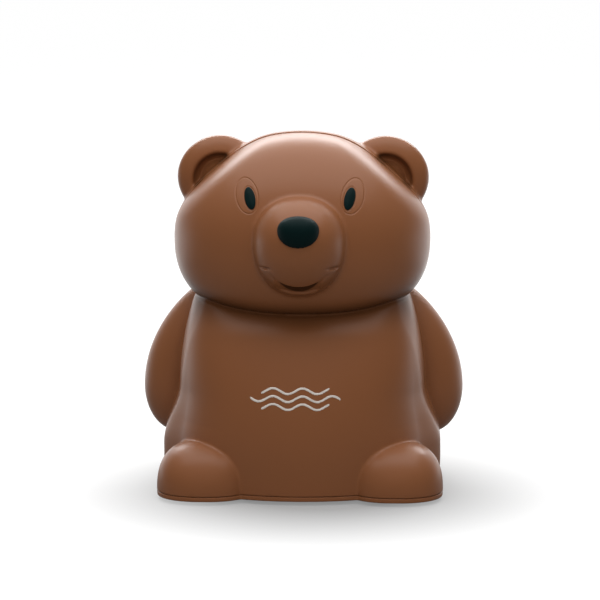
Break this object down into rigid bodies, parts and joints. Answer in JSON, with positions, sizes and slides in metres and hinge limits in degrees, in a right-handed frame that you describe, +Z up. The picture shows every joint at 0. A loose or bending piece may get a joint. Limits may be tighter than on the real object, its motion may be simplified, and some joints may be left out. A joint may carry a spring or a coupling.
{
  "type": "tabletop compressor nebulizer",
  "caption": "Children's tabletop compressor nebulizer in the shape of a seated bear, with its piston air pump, motor, fan, switch, air filter and mains inlet.",
  "frame": {"origin": "on the table, under the centre of the bounding box", "axes": "+Z up; -Y is the way the bear faces; +X is the bear's left"},
  "size_m": [0.176, 0.151, 0.1952],
  "materials": {
    "brown_plastic": "satin moulded brown plastic",
    "dark_gloss_plastic": "polished near-black green plastic",
    "black_plastic": "fine matt black plastic",
    "rubber": "matt dark rubber",
    "steel": "zinc-plated steel",
    "lamination_steel": "stacked steel sheets",
    "cast_aluminium": "bare cast aluminium",
    "copper_winding": "lacquered copper wire",
    "bronze": "sintered bronze",
    "white_nylon": "natural nylon",
    "cup_seal": "filled fluoropolymer",
    "silicone_hose": "milky silicone rubber",
    "filter_felt": "white felt",
    "blue_wire": "blue insulation",
    "brown_wire": "brown insulation"
  },
  "bodies": {
    "casing": {"front_casing": "brown_plastic", "rear_casing": "brown_plastic", "base_plate": "brown_plastic", "nose": "dark_gloss_plastic", "eye_left": "dark_gloss_plastic", "eye_right": "dark_gloss_plastic", "air_outlet": "black_plastic", "filter_housing": "black_plastic", "switch_housing": "black_plastic", "mains_inlet": "black_plastic", "rubber_foot_1": "rubber", "rubber_foot_2": "rubber", "rubber_foot_3": "rubber", "rubber_foot_4": "rubber", "vibration_mount_1": "rubber", "vibration_mount_2": "rubber", "vibration_mount_3": "rubber", "vibration_mount_4": "rubber", "base_screw_1": "steel", "base_screw_2": "steel", "base_screw_3": "steel", "base_screw_4": "steel", "casing_screw_1": "steel", "casing_screw_2": "steel", "casing_screw_3": "steel", "casing_screw_4": "steel", "head_screw_1": "steel", "head_screw_2": "steel", "head_screw_3": "steel", "head_screw_4": "steel", "motor_chassis": "steel", "valve_plate": "steel", "stator_stack": "lamination_steel", "drive_end_bracket": "cast_aluminium", "fan_end_bracket": "cast_aluminium", "cylinder": "cast_aluminium", "cylinder_head": "cast_aluminium", "coil_winding": "copper_winding", "fan_end_bush": "bronze", "drive_end_bush": "bronze", "coil_bobbin": "white_nylon", "outlet_hose": "silicone_hose", "intake_hose": "silicone_hose", "wire_inlet_to_coil": "blue_wire", "wire_inlet_to_switch": "brown_wire", "wire_switch_to_coil": "brown_wire"},
    "rotor": {"motor_shaft": "steel", "rotor_core": "lamination_steel", "cooling_fan": "black_plastic", "crank_disc": "steel", "crank_bearing": "steel"},
    "piston": {"connecting_rod": "cast_aluminium", "piston_cup": "cup_seal", "cup_retainer": "steel"},
    "intake_valve": {"intake_reed": "steel"},
    "exhaust_valve": {"exhaust_reed": "steel"},
    "rocker": {"switch_rocker": "black_plastic"},
    "filter": {"filter_cap": "brown_plastic", "filter_pad": "filter_felt"}
  },
  "joints": [
    {"name": "rotor_spin", "type": "hinge", "parent": "casing", "child": "rotor", "pos_m": [-0.006, 0.0045, 0.06], "axis": [1, 0, 0], "continuous": true},
    {"name": "piston_stroke", "type": "slide", "parent": "casing", "child": "piston", "axis": [0, 0, 1], "range_m": [0, 0.0045]},
    {"name": "intake_reed_bend", "type": "hinge", "parent": "casing", "child": "intake_valve", "pos_m": [0.018, -0.0015, 0.1022], "axis": [-1, 0, 0], "range_deg": [0, 5]},
    {"name": "exhaust_reed_bend", "type": "hinge", "parent": "casing", "child": "exhaust_valve", "pos_m": [0.029, -0.0015, 0.1061], "axis": [1, 0, 0], "range_deg": [0, 8]},
    {"name": "power_rocker", "type": "hinge", "parent": "casing", "child": "rocker", "pos_m": [-0.027, 0.058, 0.056], "axis": [-1, 0, 0], "range_deg": [0, 16]},
    {"name": "filter_pull", "type": "slide", "parent": "casing", "child": "filter", "axis": [0, 1, 0], "range_m": [0, 0.012]}
  ]
}
